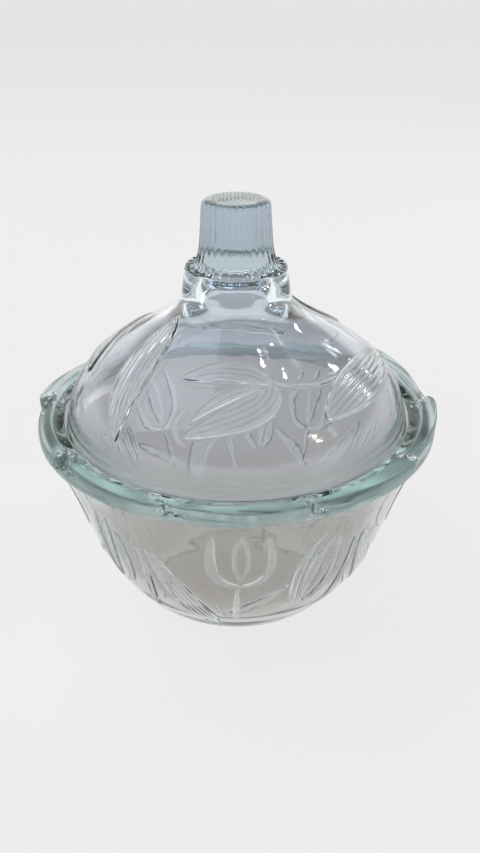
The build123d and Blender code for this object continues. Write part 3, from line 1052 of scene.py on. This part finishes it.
def floor_material(stage):
    """Matt floor. What looks at it straight or through glass sees it evened out to one pale colour.

    A share of a plain glow of that colour stands in for part of the lamps' light there, so that the
    floor stays pale far away and still keeps the dish's shadow.
    """
    material = bpy.data.materials.new("studio_floor")
    tree = new_tree(material)
    matt = put(tree, "ShaderNodeBsdfPrincipled", {
        "Base Color": (*stage.floor_colour, 1.0),
        "Roughness": FLOOR_ROUGHNESS,
        "Specular IOR Level": FLOOR_GLOSS,
    })
    glow = put(tree, "ShaderNodeEmission", {"Color": (*stage.floor_look, 1.0)})
    rays = tree.nodes.new("ShaderNodeLightPath").outputs
    seen = calc(tree, "ADD", rays["Is Glossy Ray"], rays["Is Transmission Ray"])
    seen = calc(tree, "ADD", rays["Is Camera Ray"], seen)
    share_seen = calc(tree, "MULTIPLY", calc(tree, "MINIMUM", seen, 1.0), stage.floor_evenness)
    mix = put(tree, "ShaderNodeMixShader", {0: share_seen, 1: matt.outputs[0], 2: glow.outputs[0]})
    put(tree, "ShaderNodeOutputMaterial", {"Surface": mix.outputs[0]})
    return material


def studio_world(stage):
    """Surroundings in soft bands by height of the direction: pale level with the eye, darker, then cool."""
    world = bpy.data.worlds.new("studio")
    bpy.context.scene.world = world
    tree = new_tree(world)
    where = tree.nodes.new("ShaderNodeTexCoord").outputs["Generated"]
    height = put(tree, "ShaderNodeSeparateXYZ", {"Vector": where}).outputs["Z"]
    ramp = put(tree, "ShaderNodeValToRGB", {"Fac": height})
    ramp.color_ramp.interpolation = "EASE"
    stops = ramp.color_ramp.elements
    while len(stops) < len(SKY_STOPS):
        stops.new(0.5)
    for stop, (position, name) in zip(stops, SKY_STOPS):
        stop.position = position
        stop.color = (*getattr(stage, name), 1.0)
    values = {"Color": ramp.outputs["Color"], "Strength": stage.surroundings}
    light = put(tree, "ShaderNodeBackground", values)
    put(tree, "ShaderNodeOutputWorld", {"Surface": light.outputs[0]})


class DISH_OT_stage(bpy.types.Operator):
    """Make the floor, the surroundings, the lights and the camera"""

    bl_idname = "dish.stage"
    bl_label = "Stage"

    def execute(self, context):
        scene = context.scene
        stage = settings().stage
        corners = [(x * FLOOR_HALF, y * FLOOR_HALF, 0.0) for x, y in ((-1, -1), (1, -1), (1, 1), (-1, 1))]
        mesh = bpy.data.meshes.new("studio_floor")
        mesh.from_pydata(corners, [], [(0, 1, 2, 3)])
        mesh.materials.append(floor_material(stage))
        floor = bpy.data.objects.new("studio_floor", mesh)
        scene.collection.objects.link(floor)
        studio_world(stage)
        for name, spot, size, tone, setting in LIGHTS:
            lamp = bpy.data.lights.new(name, "AREA")
            lamp.shape = "RECTANGLE"
            lamp.size, lamp.size_y = size
            lamp.color = tone
            lamp.energy = getattr(stage, setting)
            holder = bpy.data.objects.new(name, lamp)
            holder.location = spot
            aim = Vector(LIGHT_AIM) - Vector(spot)
            holder.rotation_euler = aim.to_track_quat("-Z", "Y").to_euler()
            scene.collection.objects.link(holder)
        camera = bpy.data.cameras.new("photo_camera")
        camera.sensor_fit = "VERTICAL"
        camera.sensor_height = CAMERA_SENSOR
        camera.lens = CAMERA_LENS
        camera.clip_start = CAMERA_NEAR
        eye = bpy.data.objects.new("photo_camera", camera)
        eye.location = CAMERA_PLACE
        eye.rotation_euler = (radians(CAMERA_TILT_DEG), 0.0, 0.0)
        scene.collection.objects.link(eye)
        scene.camera = eye
        scene.view_settings.view_transform = "Standard"
        return {"FINISHED"}


class DISH_PT_panel(bpy.types.Panel):
    """The dish's makers, in the 3D view's sidebar"""

    bl_label = "Candy dish"
    bl_idname = "DISH_PT_panel"
    bl_space_type = "VIEW_3D"
    bl_region_type = "UI"
    bl_category = "Candy dish"

    def draw(self, context):
        for operator in ("dish.materials", "dish.bowl", "dish.lid", "dish.stage"):
            self.layout.operator(operator)
        for group in (settings().bowl, settings().lid, settings().glass, settings().stage):
            box = self.layout.box()
            for label in group.__annotations__:
                box.prop(group, label)


CLASSES = (
    DishBowlSettings, DishLidSettings, DishGlassSettings, DishStageSettings, DishSettings,
    DISH_OT_materials, DISH_OT_bowl, DISH_OT_lid, DISH_OT_stage, DISH_PT_panel,
)


def register():
    """Register the classes and hang the settings on the scene."""
    for each in CLASSES:
        bpy.utils.register_class(each)
    bpy.types.Scene.candy_dish = PointerProperty(type=DishSettings)


def unregister():
    """Take the settings off the scene and unregister the classes."""
    del bpy.types.Scene.candy_dish
    for each in reversed(CLASSES):
        bpy.utils.unregister_class(each)


def main():
    """Make everything in order."""
    register()
    bpy.ops.dish.materials()
    bpy.ops.dish.bowl()
    bpy.ops.dish.lid()
    bpy.ops.dish.stage()
    bpy.context.view_layer.update()


if __name__ == "__main__":
    main()
